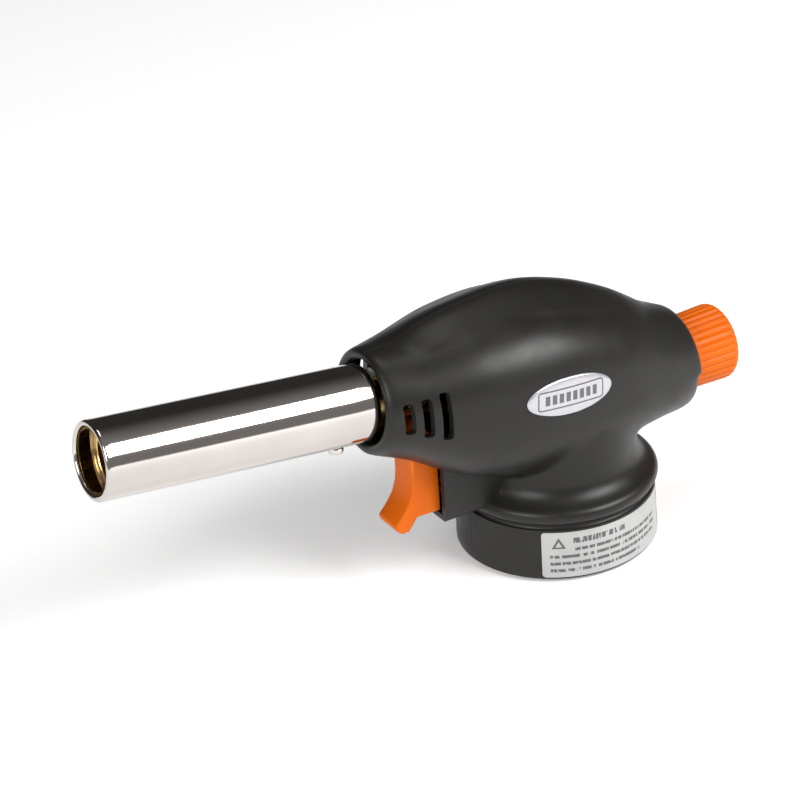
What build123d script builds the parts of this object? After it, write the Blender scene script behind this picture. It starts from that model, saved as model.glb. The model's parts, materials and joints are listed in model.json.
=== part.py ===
# Butane torch head that locks onto a bayonet gas cartridge.
# Millimetres. The origin is on the cartridge axis, level with the rim of the steel cup that the
# torch stands on. +Z is up, the flame tube points towards -X and the valve knob towards +X.
# The two plastic shells meet on the plane Y = 0.

import os
from math import cos, pi, radians, sin, tan

from build123d import *

os.makedirs("parts", exist_ok=True)

# gaps, each on one side
running_gap = 0.05  # a shaft that turns or slides in its bore
seat_gap = 0.03  # a piece that sits still in its pocket
sliding_gap = 0.35  # moulded plastic that slides past plastic
free_gap = 0.6  # parts that must never rub
seam_gap = 0.05  # each shell stops this far from the middle plane

# shells
wall = 2.0
web = 2.0  # floor between the skirt and the neck
rim_depth = 3.0
rear_wall = 2.5

# skirt, collar bulge and neck of the shells
skirt_radius = 25.2
skirt_height = 14.4
skirt_draft = 1.5  # degrees
skirt_foot = 0.8  # how far the steel cup stands out below the plastic
groove_radius = 24.1
groove_height = 15.1
collar_foot = (24.6, 15.9)  # radius, height
collar_radius = 25.7
collar_height = 17.5
collar_end = (24.3, 19.8)
neck_fillet = (21.6, 21.9)
neck_radius = 20.6
neck_height = 25.0
neck_top = 33.0

# steel cup inside the skirt
cup_bore = 21.8
cup_sheet = 1.0
cup_relief = 0.25
cup_relief_bottom = 4.2
cup_height = 12.4
lug_count = 3
lug_height = 4.6
lug_reach = 2.0
lug_angle = 34.0  # degrees of the circle that one lug covers
ring_inner = 12.5  # rubber cushion ring under the cup's top
ring_outer = 17.5
ring_thickness = 2.2

# burner axis: it passes over the origin at this height and rises towards the muzzle
burner_height = 47.9
burner_pitch = 6.7  # degrees
tube_radius = 9.5
tube_sheet = 0.5
tube_shoulder = 2.0
tube_rear_hole = 6.6
tube_rear = 52.6  # distances along the burner axis start above the origin
muzzle = 124.0
lip_bead = 0.75
mixer_radius = 5.5
mixer_sheet = 0.9
mixer_rear = 15.0
mixer_front = 70.5
air_hole_rear = 38.5
air_hole_length = 7.5
air_hole_width = 4.0
air_holes = 4
holder_front = 65.5
holder_boss_rear = 49.5
sleeve_sheet = 0.5
sleeve_rear = 66.4
sleeve_front = 118.6
sleeve_lip = 1.7
flame_holder_radius = 6.3
flame_holder_rear = 68.0
flame_holder_front = 72.0
flame_plate = 1.4
flame_port_rings = [(1.6, 6), (3.4, 12)]  # radius of the ring, ports in it
flame_port_radius = 0.45
tube_screw_place = 61.3
tube_screw_head_radius = 1.9
tube_screw_tip = 6.2  # distance from the burner axis
tube_screw_turn = 14.0  # degrees from straight down, towards -Y

# igniter electrode, beside the mixing tube
electrode_offset = 7.25
electrode_radius = 0.45
insulator_radius = 1.15
insulator_rear = 44.0
insulator_front = 66.0
electrode_rear = 41.0
electrode_front = 79.0
wire_radius = 0.7
wire_start = (-21.5, 2.0)  # x and y where the wire leaves the igniter
wire_route = [(-21.5, 2.4, 32.5), (-23.5, 9.5, 38.0), (-25.0, 12.5, 46.5), (-29.5, 10.5, 54.5)]
wire_straight = 5.0  # behind the electrode
wire_bend_radius = 2.0

# valve axis: level, towards +X
valve_height = 37.6
column_radius = 7.5
column_top = 51.0
gas_way_radius = 1.2
flange_radius = 12.0
flange_thickness = 3.0
spindle_boss_radius = 6.4
spindle_boss_end = 14.0
jet_boss_radius = 6.0
jet_boss_length = 15.5
jet_boss_end = 9.5
spindle_radius = 2.0
spindle_end = 46.7
needle_tip = 3.4
needle_length = 1.6
needle_radius = 0.5
seat_radius = 0.9
seat_length = 3.2
gland_length = 6.0
gland_nose = 2.0
gland_across_flats = 11.0
o_ring_section = 0.6
o_ring_inner = 1.55
o_ring_place = 9.0

# jet and inlet
jet_radius = 3.0
jet_rear = 2.0
jet_front = 21.0
jet_collar_length = 3.0
jet_bore = 1.1
jet_orifice = 0.3
jet_tip = 1.0
inlet_radius = 4.0
inlet_flange_radius = 6.2  # across the corners of the hexagon
inlet_nose_radius = 4.5
inlet_bottom = 7.0
inlet_nose_top = 10.0
inlet_top = 24.0
stem_bore = 2.6
seal_thickness = 1.8
seal_bore = 1.4
seal_bottom = 8.0
filter_thickness = 2.0

# knob
knob_radius = 9.4
knob_flare = 0.4
knob_front = 34.3
knob_rear = 50.7
knob_band = 4.0  # plain band ahead of the flutes
knob_edge = 1.8
knob_flutes = 30
knob_flute_radius = 0.7
knob_flute_depth = 0.3
knob_wall = 1.8
knob_floor = 44.7
knob_hub_radius = 4.2
knob_hub_front = 36.2
knob_recess_radius = 3.0
knob_recess = 2.0
knob_screw_radius = 1.0
knob_screw_head = 1.4
knob_screw_length = 8.0

# trigger, the block that it slides into and the igniter behind it
trigger_travel = 5.5
trigger_width = 8.6
trigger_rear = -35.6
trigger_foot = 20.4
trigger_heel = 33.0
trigger_top = 43.6
arm_front = -42.9
arm_rear = -38.4
arm_foot = 34.5
finger_curve = [(arm_front, trigger_heel), (-44.2, 25.2), (-48.4, 20.0)]
finger_tip = [(-48.1, 18.6), (-46.7, 17.4), (-44.6, 17.4), (-42.2, 20.6)]
finger_ends = [(0, -1), (-0.9, -1)]  # directions of the curve at its two ends
trigger_flange_width = 12.0
trigger_flange = 1.5
trigger_edge = 0.8
block_half_width = 7.0
block_front = -36.0
block_rear = -15.0
block_floor = 18.2
block_wall = 1.5
block_cavity_top = 33.5
slot_front = -43.8
slot_spare = 2.9  # behind the arm when the trigger is pressed
slot_rear = arm_rear + trigger_travel + slot_spare
slot_top = 41.35
piezo_side = 7.0
piezo_front = -24.8
piezo_rear = -9.6
piezo_bore_end = -12.4
plunger_radius = 2.2
plunger_rear = -18.8
plunger_head_radius = 3.3
plunger_head = 0.7
spring_radius = 2.85
spring_wire = 0.3
spring_turns = 6

# screws
screw_radius = 1.25
screw_head_radius = 2.4
screw_head_height = 1.6
screw_tip = -8.0  # how far past the middle plane the shell screws reach
boss_radius = 3.1
boss_head_seat = 6.0  # the screw heads sit this far from the middle plane
shell_screw_places = [(-31.0, 62.4), (21.5, 50.0), (-16.0, 36.9), (13.6, 27.3)]  # x, z
cup_screw_circle = 9.3
cup_screw_count = 3
cup_screw_reach = 2.4  # into the flange of the valve body

# vents behind the collar: x of the centre, bottom, top
vent_width = 2.3
vent_places = [(-48.4, 50.0, 58.4), (-44.2, 48.3, 58.9), (-40.0, 46.9, 59.7)]

# badge and label
badge_centre = (-8.4, 50.6)  # x, z
badge_length = 24.4
badge_height = 9.6
badge_tilt = 5.0  # degrees, falling to the rear
badge_thickness = 0.5
label_bottom = 1.5
label_height = 12.4
label_start = -131.5  # degrees around Z from +X
label_angle = 89.5
label_thickness = 0.15

# stations of the body: x, height of the centre, half width, rise above the centre,
# drop below it, squareness (2 is an ellipse), lean of the section in degrees
collar_front = -53.0
collar_opening = tube_radius + 0.9
front_rim_radius = 12.7
rear_rim_radius = 13.2
body_rear = 36.4
body_stations = [
    (collar_front, burner_height - collar_front * tan(radians(burner_pitch)),
     front_rim_radius, front_rim_radius, front_rim_radius, 2.0, burner_pitch),
    (-43.0, 52.8, 16.4, 14.6, 15.6, 2.15, 6.0),
    (-28.0, 50.5, 20.2, 18.4, 22.0, 2.35, 4.0),
    (-10.0, 47.5, 22.0, 19.2, 23.3, 2.5, 2.0),
    (10.0, 43.5, 20.3, 17.8, 18.6, 2.4, 0.0),
    (25.0, 39.8, 16.6, 15.0, 14.2, 2.2, 0.0),
    (body_rear, valve_height, rear_rim_radius, rear_rim_radius, rear_rim_radius, 2.0, 0.0),
]
# stations of the spine along the top: x, height of the crest, half width, depth
spine_stations = [
    (-38.0, 69.2, 9.6, 10.0),
    (-22.0, 72.0, 9.8, 10.0),
    (-8.0, 71.8, 9.3, 9.5),
    (6.0, 67.9, 8.8, 9.0),
    (18.0, 62.0, 8.0, 8.0),
    (28.5, 54.6, 7.2, 7.0),
    (34.5, 50.3, 6.6, 6.4),
]
quarter_steps = 4  # points on a quarter of a section

# planes and axes that the pieces are drawn on
burner_forward = Vector(-cos(radians(burner_pitch)), 0, sin(radians(burner_pitch)))
burner_origin = Vector(0, 0, burner_height)
burner_plane = Plane(origin=burner_origin, x_dir=burner_forward, z_dir=(0, 1, 0))
burner_axis = Axis(burner_origin, burner_forward)
valve_plane = Plane(origin=(0, 0, valve_height), x_dir=(1, 0, 0), z_dir=(0, -1, 0))
valve_axis = Axis((0, 0, valve_height), (1, 0, 0))


def outline(plane, points):
    # a closed straight-sided face on the plane
    with BuildSketch(plane) as face:
        with BuildLine():
            Polyline(*points, close=True)
        make_face()
    return face.sketch


def across_burner(distance):
    # a plane square to the burner axis, facing the muzzle, its Y pointing up
    return Plane(
        origin=burner_origin + burner_forward * distance,
        x_dir=(0, -1, 0),
        z_dir=burner_forward,
    )


def across_valve(distance):
    # a plane square to the valve axis, facing the knob
    return Plane(origin=(distance, 0, valve_height), x_dir=(0, 1, 0), z_dir=(1, 0, 0))


def save(part, name):
    part.label = name
    export_step(part, f"parts/{name}.step")


# shells


def body_section(station, inset):
    # left half of a superellipse across the body, closed on the middle plane
    x, height, half_width, rise, drop, squareness, lean = station
    plane = Plane(
        origin=(x, 0, height),
        x_dir=(0, -1, 0),
        z_dir=(-cos(radians(lean)), 0, sin(radians(lean))),
    )
    turns = [pi / 2 * step / quarter_steps for step in range(quarter_steps + 1)]
    quarter = [(sin(turn) ** (2 / squareness), cos(turn) ** (2 / squareness)) for turn in turns[1:-1]]
    width, top, bottom = half_width - inset, rise - inset, drop - inset
    points = [(0, top)]
    points += [(out * width, up * top) for out, up in quarter]
    points += [(width, 0)]
    points += [(out * width, -up * bottom) for out, up in reversed(quarter)]
    points += [(0, -bottom)]
    with BuildSketch(plane) as face:
        with BuildLine():
            Spline(*points, tangents=[(1, 0), (-1, 0)])
            Line((0, -bottom), (0, top))
        make_face()
    return face.sketch


def spine_section(station, inset):
    # left half of an ellipse across the spine
    x, crest, half_width, depth = station
    plane = Plane(origin=(x, 0, crest - depth), x_dir=(0, -1, 0), z_dir=(-1, 0, 0))
    with BuildSketch(plane) as face:
        with BuildLine():
            EllipticalCenterArc(
                (0, 0), half_width - inset, depth - inset, start_angle=-90, arc_size=180
            )
            Line((0, depth - inset), (0, inset - depth))
        make_face()
    return face.sketch


def hollow_stations(stations):
    # the same stations, with solid walls left at both ends
    front = (stations[0][0] + rim_depth, *stations[0][1:])
    rear = (stations[-1][0] - rear_wall, *stations[-1][1:])
    return [front, *stations[1:-1], rear]


def pedestal_outline():
    # half section of the skirt, the collar bulge and the neck
    top_of_skirt = skirt_radius - (skirt_height - skirt_foot) * tan(radians(skirt_draft))
    with BuildSketch(Plane.XZ) as face:
        with BuildLine():
            Line((0, skirt_foot), (skirt_radius, skirt_foot))
            Line((skirt_radius, skirt_foot), (top_of_skirt, skirt_height))
            ThreePointArc((top_of_skirt, skirt_height), (groove_radius, groove_height), collar_foot)
            ThreePointArc(collar_foot, (collar_radius, collar_height), collar_end)
            ThreePointArc(collar_end, neck_fillet, (neck_radius, neck_height))
            Line((neck_radius, neck_height), (neck_radius, neck_top))
            Line((neck_radius, neck_top), (0, neck_top))
            Line((0, neck_top), (0, skirt_foot))
        make_face()
    return face.sketch


cup_radius = cup_bore + cup_sheet
web_top = cup_height + web
socket_radius = cup_radius + seat_gap
neck_cavity = neck_radius - wall
collar_cavity = groove_radius - wall

with BuildPart() as outer_half:
    revolve(pedestal_outline(), axis=Axis.Z, revolution_arc=-180)
    # block that the trigger slides into
    with BuildSketch(Plane.XY.offset(block_floor)):
        with Locations(((block_front + block_rear) / 2, -block_half_width / 2)):
            Rectangle(block_rear - block_front, block_half_width)
    extrude(amount=valve_height - block_floor)
    loft([body_section(station, 0) for station in body_stations])
    loft([spine_section(station, 0) for station in spine_stations])

with BuildPart() as posts:
    # screw posts, trimmed to the outer form
    with BuildSketch(Plane.XZ):
        with Locations(*shell_screw_places):
            Circle(boss_radius)
    extrude(amount=cup_radius + wall)
    add(outer_half.part, mode=Mode.INTERSECT)

with BuildPart() as half_shell:
    add(outer_half.part)
    loft([body_section(station, wall) for station in hollow_stations(body_stations)], mode=Mode.SUBTRACT)
    loft([spine_section(station, wall) for station in spine_stations[1:-1]], mode=Mode.SUBTRACT)
    # neck above the web
    revolve(
        outline(
            Plane.XZ,
            [
                (0, web_top), (collar_cavity, web_top), (collar_cavity, collar_height),
                (neck_cavity, neck_height), (neck_cavity, neck_top - wall), (0, neck_top - wall),
            ],
        ),
        axis=Axis.Z,
        revolution_arc=-180,
        mode=Mode.SUBTRACT,
    )
    add(posts.part)
    # socket for the steel cup, and the holes in the web for the inlet and the cup screws
    with BuildSketch(Plane.XY):
        Circle(socket_radius)
    extrude(amount=cup_height + seat_gap, mode=Mode.SUBTRACT)
    with BuildSketch(Plane.XY):
        Circle(inlet_flange_radius + free_gap)
    extrude(amount=web_top, mode=Mode.SUBTRACT)
    with BuildSketch(Plane.XY.offset(cup_height)):
        with PolarLocations(cup_screw_circle, cup_screw_count, start_angle=180):
            Circle(screw_radius + running_gap)
    extrude(amount=web, mode=Mode.SUBTRACT)
    # inside of the trigger block, open to the front, and the slot above it
    with BuildSketch(Plane.XY.offset(block_floor + block_wall)):
        with Locations(((block_front + block_rear) / 2 - wall, 0)):
            Rectangle(block_rear - block_front, 2 * (block_half_width - block_wall))
    extrude(amount=block_cavity_top - block_floor - block_wall, mode=Mode.SUBTRACT)
    with BuildSketch(Plane.XY.offset(block_floor + block_wall)):
        with Locations(((slot_front + slot_rear) / 2, 0)):
            Rectangle(slot_rear - slot_front, trigger_width + 2 * sliding_gap)
    extrude(amount=slot_top - block_floor - block_wall, mode=Mode.SUBTRACT)
    # openings for the flame tube and the knob
    with BuildSketch(across_burner(tube_rear - 2 * rim_depth)):
        Circle(collar_opening)
    extrude(amount=4 * rim_depth, mode=Mode.SUBTRACT)
    with BuildSketch(across_valve(body_rear - 2 * rear_wall)):
        Circle(knob_radius + free_gap)
    extrude(amount=4 * rear_wall, mode=Mode.SUBTRACT)
    # vents
    with BuildSketch(Plane.XZ.offset(mixer_radius)):
        for vent_x, vent_bottom, vent_top in vent_places:
            with Locations((vent_x, (vent_bottom + vent_top) / 2)):
                SlotOverall(vent_top - vent_bottom, vent_width, rotation=90)
    extrude(amount=cup_radius, mode=Mode.SUBTRACT)
    split(bisect_by=Plane.XZ.offset(seam_gap), keep=Keep.TOP)

with BuildPart() as left_shell:
    add(half_shell.part)
    with BuildSketch(Plane.XZ):
        with Locations(*shell_screw_places):
            Circle(screw_radius + seat_gap)
    extrude(amount=seat_gap - screw_tip, mode=Mode.SUBTRACT)
save(left_shell.part, "left_shell")

with BuildPart() as right_shell:
    add(half_shell.part.mirror(Plane.XZ))
    with BuildSketch(Plane.XZ):
        with Locations(*shell_screw_places):
            Circle(screw_radius + running_gap)
    extrude(amount=-boss_head_seat, mode=Mode.SUBTRACT)
    with BuildSketch(Plane.XZ.offset(-boss_head_seat)):
        with Locations(*shell_screw_places):
            Circle(screw_head_radius + running_gap)
    extrude(amount=-cup_radius, mode=Mode.SUBTRACT)
save(right_shell.part, "right_shell")

with BuildPart() as shell_screws:
    with BuildSketch(Plane.XZ.offset(-boss_head_seat - seat_gap)):
        with Locations(*shell_screw_places):
            Circle(screw_head_radius)
    extrude(amount=-screw_head_height)
    with BuildSketch(Plane.XZ.offset(-screw_tip)):
        with Locations(*shell_screw_places):
            Circle(screw_radius)
    extrude(amount=screw_tip - boss_head_seat - screw_head_height / 2)
save(shell_screws.part, "shell_screws")

with BuildPart() as badge:
    # oval plate pressed onto the left side, following its curve
    loft([body_section(station, -badge_thickness) for station in body_stations])
    loft([body_section(station, -seat_gap) for station in body_stations], mode=Mode.SUBTRACT)
    with BuildSketch(Plane.XZ.offset(mixer_radius)):
        with Locations(badge_centre):
            Ellipse(badge_length / 2, badge_height / 2, rotation=-badge_tilt)
    extrude(amount=cup_radius, mode=Mode.INTERSECT)
save(badge.part, "badge")

with BuildPart() as label:
    # thin band that follows the drafted skirt
    label_plane = Plane(
        origin=(0, 0, 0),
        x_dir=(cos(radians(label_start)), sin(radians(label_start)), 0),
        z_dir=(sin(radians(label_start)), -cos(radians(label_start)), 0),
    )
    label_top = label_bottom + label_height
    foot = skirt_radius - (label_bottom - skirt_foot) * tan(radians(skirt_draft)) + seat_gap
    head = skirt_radius - (label_top - skirt_foot) * tan(radians(skirt_draft)) + seat_gap
    revolve(
        outline(
            label_plane,
            [
                (foot, label_bottom), (foot + label_thickness, label_bottom),
                (head + label_thickness, label_top), (head, label_top),
            ],
        ),
        axis=Axis.Z,
        revolution_arc=label_angle,
    )
save(label.part, "label")

# cartridge socket
with BuildPart() as steel_cup:
    with BuildSketch(Plane.XY):
        Circle(cup_radius)
    extrude(amount=cup_height)
    with BuildSketch(Plane.XY):
        Circle(cup_bore)
    extrude(amount=cup_height - cup_sheet, mode=Mode.SUBTRACT)
    # relief around the lugs, where the cartridge's flange turns
    with BuildSketch(Plane.XY.offset(cup_relief_bottom)):
        Circle(cup_bore + cup_relief)
    extrude(amount=cup_height - cup_sheet - cup_relief_bottom, mode=Mode.SUBTRACT)
    with BuildSketch(Plane.XY):
        Circle(inlet_flange_radius + free_gap)
        with PolarLocations(cup_screw_circle, cup_screw_count, start_angle=180):
            Circle(screw_radius + running_gap)
    extrude(amount=cup_height, mode=Mode.SUBTRACT)
    # lugs that the notched collar of the cartridge turns under
    lug_profile = outline(
        Plane.XZ,
        [
            (cup_bore - lug_reach, lug_height), (cup_bore + cup_sheet / 2, lug_height),
            (cup_bore + cup_sheet / 2, lug_height + cup_sheet),
            (cup_bore - lug_reach, lug_height + cup_sheet),
        ],
    )
    for lug in range(lug_count):
        turn = 360 / lug_count * lug
        revolve(lug_profile.rotate(Axis.Z, turn), axis=Axis.Z, revolution_arc=lug_angle)
save(steel_cup.part, "steel_cup")

with BuildPart() as cushion_ring:
    with BuildSketch(Plane.XY.offset(cup_height - cup_sheet - seat_gap)):
        Circle(ring_outer)
        Circle(ring_inner, mode=Mode.SUBTRACT)
    extrude(amount=-ring_thickness)
save(cushion_ring.part, "cushion_ring")

screw_plate = cup_height - cup_sheet
flange_bottom = web_top + seat_gap
with BuildPart() as cup_screws:
    with BuildSketch(Plane.XY.offset(screw_plate - seat_gap)):
        with PolarLocations(cup_screw_circle, cup_screw_count, start_angle=180):
            Circle(screw_head_radius)
    extrude(amount=-screw_head_height)
    with BuildSketch(Plane.XY.offset(screw_plate - screw_head_height / 2)):
        with PolarLocations(cup_screw_circle, cup_screw_count, start_angle=180):
            Circle(screw_radius)
    extrude(amount=flange_bottom + cup_screw_reach - screw_plate + screw_head_height / 2)
save(cup_screws.part, "cup_screws")

# valve
boss_bore = spindle_radius + running_gap
ring_pocket = o_ring_inner + 2 * o_ring_section + running_gap
pocket_front = o_ring_place - o_ring_section - 2 * running_gap
with BuildPart() as valve_body:
    with BuildSketch(Plane.XY.offset(flange_bottom)):
        Circle(flange_radius)
    extrude(amount=flange_thickness)
    with BuildSketch(Plane.XY.offset(flange_bottom)):
        Circle(column_radius)
    extrude(amount=column_top - flange_bottom)
    with BuildSketch(across_valve(0)):
        Circle(spindle_boss_radius)
    extrude(amount=spindle_boss_end)
    with BuildSketch(across_burner(jet_boss_end)):
        Circle(jet_boss_radius)
    extrude(amount=-jet_boss_length)
    # inlet thread and gas way up to the jet
    with BuildSketch(Plane.XY.offset(flange_bottom)):
        Circle(inlet_radius + seat_gap)
    extrude(amount=inlet_top + seat_gap - flange_bottom, mode=Mode.SUBTRACT)
    with BuildSketch(Plane.XY.offset(flange_bottom)):
        Circle(gas_way_radius)
    extrude(amount=burner_height + gas_way_radius - flange_bottom, mode=Mode.SUBTRACT)
    with BuildSketch(across_burner(0)):
        Circle(gas_way_radius)
    extrude(amount=jet_boss_end, mode=Mode.SUBTRACT)
    with BuildSketch(across_burner(jet_rear - seat_gap)):
        Circle(jet_radius + seat_gap)
    extrude(amount=jet_boss_end, mode=Mode.SUBTRACT)
    # seat, spindle bore and O-ring pocket
    with BuildSketch(across_valve(0)):
        Circle(seat_radius)
    extrude(amount=seat_length, mode=Mode.SUBTRACT)
    with BuildSketch(across_valve(seat_length)):
        Circle(boss_bore)
    extrude(amount=spindle_boss_end, mode=Mode.SUBTRACT)
    with BuildSketch(across_valve(pocket_front)):
        Circle(ring_pocket)
    extrude(amount=spindle_boss_end, mode=Mode.SUBTRACT)
    # blind holes for the cup screws
    with BuildSketch(Plane.XY.offset(flange_bottom)):
        with PolarLocations(cup_screw_circle, cup_screw_count, start_angle=180):
            Circle(screw_radius + running_gap)
    extrude(amount=cup_screw_reach + seat_gap, mode=Mode.SUBTRACT)
save(valve_body.part, "valve_body")

with BuildPart() as inlet_probe:
    with BuildSketch(Plane.XY.offset(inlet_bottom)):
        Circle(inlet_nose_radius)
    extrude(amount=inlet_nose_top - inlet_bottom)
    with BuildSketch(Plane.XY.offset(inlet_nose_top)):
        RegularPolygon(inlet_flange_radius, 6)
    extrude(amount=web_top - inlet_nose_top)
    with BuildSketch(Plane.XY.offset(web_top)):
        Circle(inlet_radius)
    extrude(amount=inlet_top - web_top)
    with BuildSketch(Plane.XY.offset(inlet_bottom)):
        Circle(stem_bore)
    extrude(amount=inlet_top - cup_sheet - inlet_bottom, mode=Mode.SUBTRACT)
    with BuildSketch(Plane.XY.offset(inlet_bottom)):
        Circle(gas_way_radius)
    extrude(amount=inlet_top - inlet_bottom, mode=Mode.SUBTRACT)
save(inlet_probe.part, "inlet_probe")

with BuildPart() as inlet_seal:
    with BuildSketch(Plane.XY.offset(seal_bottom)):
        Circle(stem_bore - seat_gap)
        Circle(seal_bore, mode=Mode.SUBTRACT)
    extrude(amount=seal_thickness)
save(inlet_seal.part, "inlet_seal")

with BuildPart() as gas_filter:
    with BuildSketch(Plane.XY.offset(inlet_top - cup_sheet - seat_gap)):
        Circle(stem_bore - seat_gap)
    extrude(amount=-filter_thickness)
save(gas_filter.part, "gas_filter")

with BuildPart() as valve_spindle:
    groove_front = o_ring_place - o_ring_section - running_gap
    groove_rear = o_ring_place + o_ring_section + running_gap
    revolve(
        outline(
            valve_plane,
            [
                (needle_tip, 0), (needle_tip, needle_radius),
                (needle_tip + needle_length, spindle_radius), (groove_front, spindle_radius),
                (groove_front, o_ring_inner - running_gap), (groove_rear, o_ring_inner - running_gap),
                (groove_rear, spindle_radius), (spindle_end, spindle_radius), (spindle_end, 0),
            ],
        ),
        axis=valve_axis,
    )
    with BuildSketch(across_valve(spindle_end)):
        Circle(knob_screw_radius + seat_gap)
    extrude(amount=-knob_screw_length, mode=Mode.SUBTRACT)
save(valve_spindle.part, "valve_spindle")

with BuildPart() as spindle_o_ring:
    with BuildSketch(valve_plane):
        with Locations((o_ring_place, o_ring_inner + o_ring_section)):
            Circle(o_ring_section)
    revolve(axis=valve_axis)
save(spindle_o_ring.part, "spindle_o_ring")

with BuildPart() as gland_nut:
    with BuildSketch(across_valve(spindle_boss_end + seat_gap)):
        RegularPolygon(gland_across_flats / 2, 6, major_radius=False)
    extrude(amount=gland_length)
    with BuildSketch(across_valve(spindle_boss_end - gland_nose)):
        Circle(ring_pocket - seat_gap)
    extrude(amount=gland_length)
    with BuildSketch(across_valve(spindle_boss_end - gland_nose)):
        Circle(boss_bore)
    extrude(amount=2 * gland_length, mode=Mode.SUBTRACT)
save(gland_nut.part, "gland_nut")

knob_rear_radius = knob_radius + knob_flare
recess_floor = knob_rear - knob_recess
with BuildPart() as control_knob:
    with BuildSketch(valve_plane):
        with BuildLine():
            Polyline(
                (spindle_end, 0), (knob_floor, 0), (knob_floor, knob_radius - knob_wall),
                (knob_front, knob_radius - knob_wall), (knob_front, knob_radius),
                (knob_front + knob_band, knob_radius), (knob_rear - knob_edge, knob_rear_radius),
            )
            rear_edge = RadiusArc(
                (knob_rear - knob_edge, knob_rear_radius),
                (knob_rear, knob_rear_radius - knob_edge),
                knob_edge,
            )
            Polyline(
                rear_edge @ 1, (knob_rear, knob_recess_radius), (recess_floor, knob_recess_radius),
                (recess_floor, 0), (spindle_end, 0),
            )
        make_face()
    revolve(axis=valve_axis)
    with BuildSketch(across_valve(knob_hub_front)):
        Circle(knob_hub_radius)
    extrude(amount=spindle_end - knob_hub_front)
    with BuildSketch(across_valve(knob_hub_front)):
        Circle(spindle_radius + seat_gap)
    extrude(amount=spindle_end + seat_gap - knob_hub_front, mode=Mode.SUBTRACT)
    with BuildSketch(across_valve(spindle_end)):
        Circle(knob_screw_radius + running_gap)
    extrude(amount=knob_recess, mode=Mode.SUBTRACT)
    with BuildSketch(across_valve(knob_front + knob_band)):
        with PolarLocations(knob_radius + knob_flute_radius - knob_flute_depth, knob_flutes):
            Circle(knob_flute_radius)
    extrude(amount=knob_rear, mode=Mode.SUBTRACT)
save(control_knob.part, "control_knob")

with BuildPart() as knob_screw:
    with BuildSketch(across_valve(recess_floor + seat_gap)):
        Circle(knob_recess_radius - 2 * running_gap)
    extrude(amount=knob_screw_head)
    with BuildSketch(across_valve(recess_floor + knob_screw_head / 2)):
        Circle(knob_screw_radius)
    extrude(amount=-knob_screw_length)
save(knob_screw.part, "knob_screw")

# burner
tube_inner = tube_radius - tube_sheet
bead_place = muzzle - lip_bead
bead_join = bead_place - (lip_bead**2 - (lip_bead - tube_sheet) ** 2) ** 0.5
with BuildPart() as flame_tube:
    with BuildSketch(burner_plane):
        with BuildLine():
            shoulder = TangentArc(
                (tube_rear + tube_shoulder, tube_radius),
                (tube_rear, tube_radius - tube_shoulder),
                tangent=(-1, 0),
            )
            Polyline(
                shoulder @ 1, (tube_rear, tube_rear_hole), (tube_rear + tube_sheet, tube_rear_hole),
                (tube_rear + tube_sheet, tube_radius - tube_shoulder),
            )
            TangentArc(
                (tube_rear + tube_sheet, tube_radius - tube_shoulder),
                (tube_rear + tube_shoulder, tube_inner),
                tangent=(0, 1),
            )
            Line((tube_rear + tube_shoulder, tube_inner), (bead_join, tube_inner))
            ThreePointArc(
                (bead_join, tube_inner), (bead_place, tube_radius - 2 * lip_bead),
                (muzzle, tube_radius - lip_bead),
            )
            TangentArc(
                (muzzle, tube_radius - lip_bead), (bead_place, tube_radius), tangent=(0, 1)
            )
            Line((bead_place, tube_radius), (tube_rear + tube_shoulder, tube_radius))
        make_face()
    revolve(axis=burner_axis)
    screw_direction = Vector(0, 0, -1).rotate(Axis.X, -tube_screw_turn)
    screw_face = Plane(
        origin=burner_origin + burner_forward * tube_screw_place,
        x_dir=burner_forward,
        z_dir=screw_direction.rotate(Axis.Y, burner_pitch),
    )
    with BuildSketch(screw_face):
        Circle(screw_radius + running_gap)
    extrude(amount=tube_radius + tube_sheet, mode=Mode.SUBTRACT)
    # notch in the rear end for the electrode's insulator
    with BuildSketch(across_burner(tube_rear - tube_sheet)):
        with Locations((0, electrode_offset)):
            Circle(insulator_radius + 2 * running_gap)
    extrude(amount=2 * tube_shoulder, mode=Mode.SUBTRACT)
save(flame_tube.part, "flame_tube")

holder_rear = tube_rear + tube_shoulder + 2 * running_gap
with BuildPart() as burner_holder:
    with BuildSketch(across_burner(holder_rear)):
        Circle(tube_inner - seat_gap)
    extrude(amount=holder_front - holder_rear)
    with BuildSketch(across_burner(holder_boss_rear)):
        Circle(tube_rear_hole - seat_gap)
    extrude(amount=holder_front - holder_boss_rear)
    with BuildSketch(across_burner(holder_boss_rear)):
        Circle(mixer_radius + seat_gap)
        with Locations((0, electrode_offset)):
            Circle(insulator_radius + seat_gap)
    extrude(amount=holder_front, mode=Mode.SUBTRACT)
    with BuildSketch(screw_face):
        Circle(screw_radius + seat_gap)
    extrude(amount=tube_radius, mode=Mode.SUBTRACT)
save(burner_holder.part, "burner_holder")

with BuildPart() as tube_screw:
    with BuildSketch(screw_face.offset(tube_screw_tip)):
        Circle(screw_radius)
    extrude(amount=tube_radius + screw_head_height / 2 - tube_screw_tip)
    with BuildSketch(screw_face.offset(tube_radius + seat_gap)):
        Circle(tube_screw_head_radius)
    extrude(amount=screw_head_height)
    head_top = tube_screw.faces().sort_by(Axis(screw_face.origin, screw_face.z_dir))[-1]
    fillet(head_top.edges(), screw_head_height / 2)
save(tube_screw.part, "tube_screw")

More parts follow.
